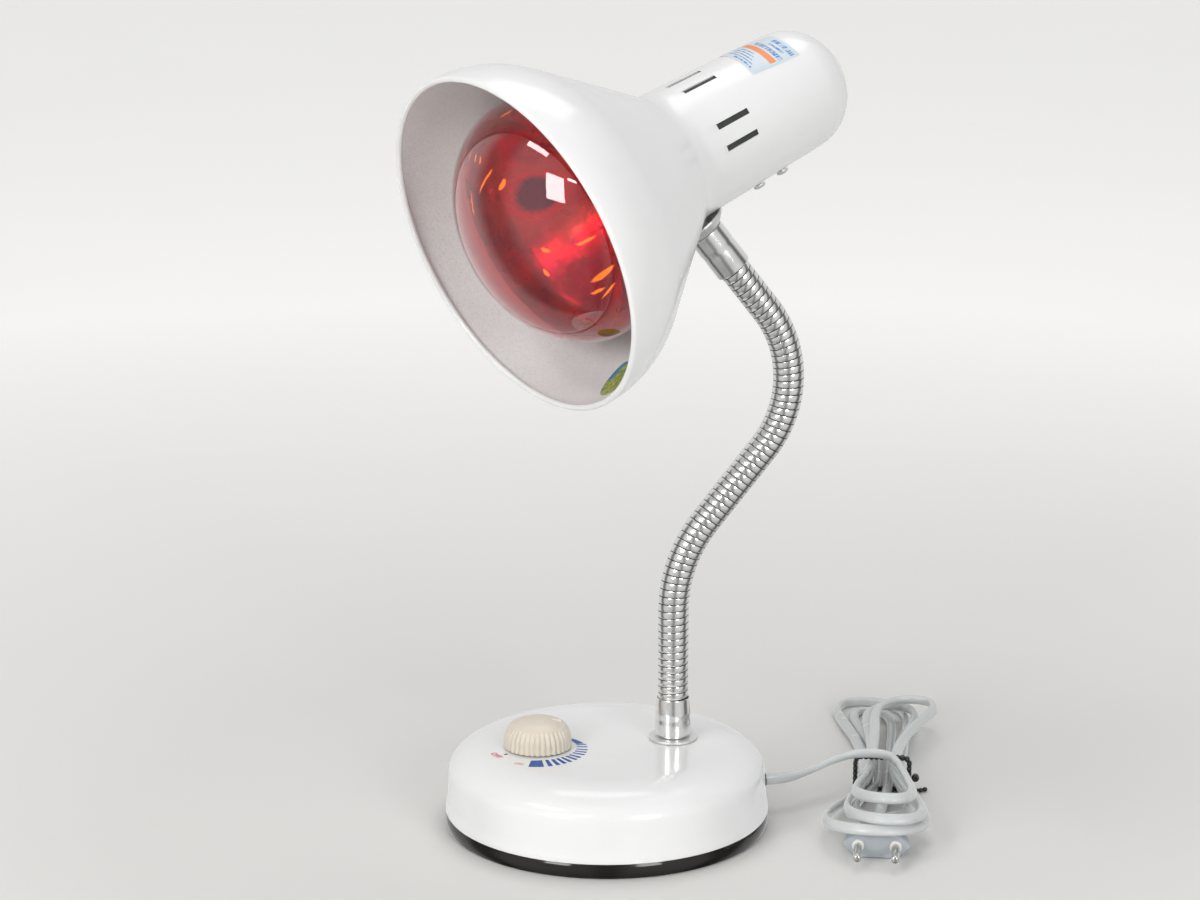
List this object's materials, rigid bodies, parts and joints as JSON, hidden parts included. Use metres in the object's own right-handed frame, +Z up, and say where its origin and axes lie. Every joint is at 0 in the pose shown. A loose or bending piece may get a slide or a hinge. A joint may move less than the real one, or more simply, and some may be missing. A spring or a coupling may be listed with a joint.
{
  "type": "infrared heat lamp",
  "caption": "Infrared heat therapy lamp: round weighted base with a rotary dimmer, a bendable metal gooseneck and a conical steel shade round a red reflector bulb, with its cord tied in a hank",
  "frame": {"origin": "middle of the underside of the rubber pad, on the table", "axes": "+Z up, +X from the dimmer knob towards the neck and the cord's exit, +Y to the back"},
  "size_m": [0.3036, 0.2662, 0.3945],
  "materials": {
    "shell_white": "gloss",
    "skirt_brown": "gloss",
    "pad_rubber": "matte",
    "cast_iron": "rough",
    "steel_plain": "brushed",
    "knob_ivory": "satin",
    "board_brown": "satin",
    "copper_wire": "satin",
    "red_case": "satin",
    "black_plastic": "satin",
    "sink_aluminium": "satin",
    "white_plastic": "satin",
    "cord_grey": "satin",
    "plug_grey": "satin",
    "zinc_plate": "satin",
    "neck_chrome": "polished",
    "shade_paint": "gloss",
    "bulb_red": "clear",
    "clear_glass": "clear",
    "cap_brass": "satin",
    "socket_ceramic": "gloss",
    "lead_silicone": "satin"
  },
  "bodies": {
    "base": {"ballast_weight": "cast_iron", "base_pad": "pad_rubber", "base_pan": "skirt_brown", "base_shell": "shell_white", "choke": "copper_wire", "cord_clamp": "white_plastic", "cord_grommet": "pad_rubber", "cord_hank": "cord_grey", "cord_inner_end": "cord_grey", "cord_tie": "black_plastic", "dimmer_board": "board_brown", "dimmer_nut": "steel_plain", "dimmer_pot": "steel_plain", "film_capacitor": "red_case", "foot_ferrule": "neck_chrome", "foot_nipple": "zinc_plate", "foot_nut": "zinc_plate", "foot_washer": "zinc_plate", "heat_sink": "sink_aluminium", "lamp_lead": "lead_silicone", "neck_bend_1": "neck_chrome", "neck_section_1": "neck_chrome", "pan_screw_1": "steel_plain", "pan_screw_2": "steel_plain", "pan_screw_3": "steel_plain", "plug_body": "plug_grey", "plug_lead": "cord_grey", "plug_pin_1": "zinc_plate", "plug_pin_2": "zinc_plate", "power_cord": "cord_grey", "terminal_block": "white_plastic", "triac": "black_plastic"},
    "knob": {"dimmer_knob": "knob_ivory", "dimmer_shaft": "steel_plain"},
    "neck_2": {"neck_bend_2": "neck_chrome", "neck_section_2": "neck_chrome"},
    "neck_3": {"neck_bend_3": "neck_chrome", "neck_section_3": "neck_chrome"},
    "neck_4": {"neck_bend_4": "neck_chrome", "neck_section_4": "neck_chrome"},
    "neck_5": {"neck_bend_5": "neck_chrome", "neck_section_5": "neck_chrome"},
    "neck_6": {"neck_bend_6": "neck_chrome", "neck_section_6": "neck_chrome"},
    "head": {"bracket_screw_1": "zinc_plate", "bracket_screw_2": "zinc_plate", "bulb_cap": "cap_brass", "bulb_contact": "black_plastic", "bulb_filament": "steel_plain", "bulb_glass": "bulb_red", "bulb_stem": "clear_glass", "head_dish_washer": "zinc_plate", "head_ferrule": "neck_chrome", "head_nipple": "zinc_plate", "head_nut": "zinc_plate", "neck_section_7": "neck_chrome", "shade": "shade_paint", "socket_body": "socket_ceramic", "socket_bracket": "zinc_plate", "socket_screw_shell": "cap_brass"}
  },
  "joints": [
    {"name": "knob_turn", "type": "hinge", "parent": "base", "child": "knob", "pos_m": [-0.0355, 0, 0.05], "axis": [0, 0, -1], "range_deg": [-213, 91]},
    {"name": "neck_bend_joint_1", "type": "hinge", "parent": "base", "child": "neck_2", "pos_m": [0.0342, 0, 0.0952], "axis": [0, 1, 0], "range_deg": [-40, 40], "deforming": ["neck_bend_1", "lamp_lead"]},
    {"name": "neck_bend_joint_2", "type": "hinge", "parent": "neck_2", "child": "neck_3", "pos_m": [0.03743, 0, 0.13148], "axis": [0.9557, 0, -0.2942], "range_deg": [-40, 40], "deforming": ["neck_bend_2", "lamp_lead"]},
    {"name": "neck_bend_joint_3", "type": "hinge", "parent": "neck_3", "child": "neck_4", "pos_m": [0.05595, 0, 0.16271], "axis": [0, -1, 0], "range_deg": [-30, 45], "deforming": ["neck_bend_3", "lamp_lead"]},
    {"name": "neck_bend_joint_4", "type": "hinge", "parent": "neck_4", "child": "neck_5", "pos_m": [0.07898, 0, 0.19115], "axis": [-0.7771, 0, 0.6293], "range_deg": [-40, 40], "deforming": ["neck_bend_4", "lamp_lead"]},
    {"name": "neck_bend_joint_5", "type": "hinge", "parent": "neck_5", "child": "neck_6", "pos_m": [0.09205, 0, 0.22467], "axis": [0, 1, 0], "range_deg": [-10, 60], "deforming": ["neck_bend_5", "lamp_lead"]},
    {"name": "neck_bend_joint_6", "type": "hinge", "parent": "neck_6", "child": "head", "pos_m": [0.08244, 0, 0.25934], "axis": [0.8301, 0, 0.5576], "range_deg": [-40, 40], "deforming": ["neck_bend_6", "lamp_lead"]}
  ]
}
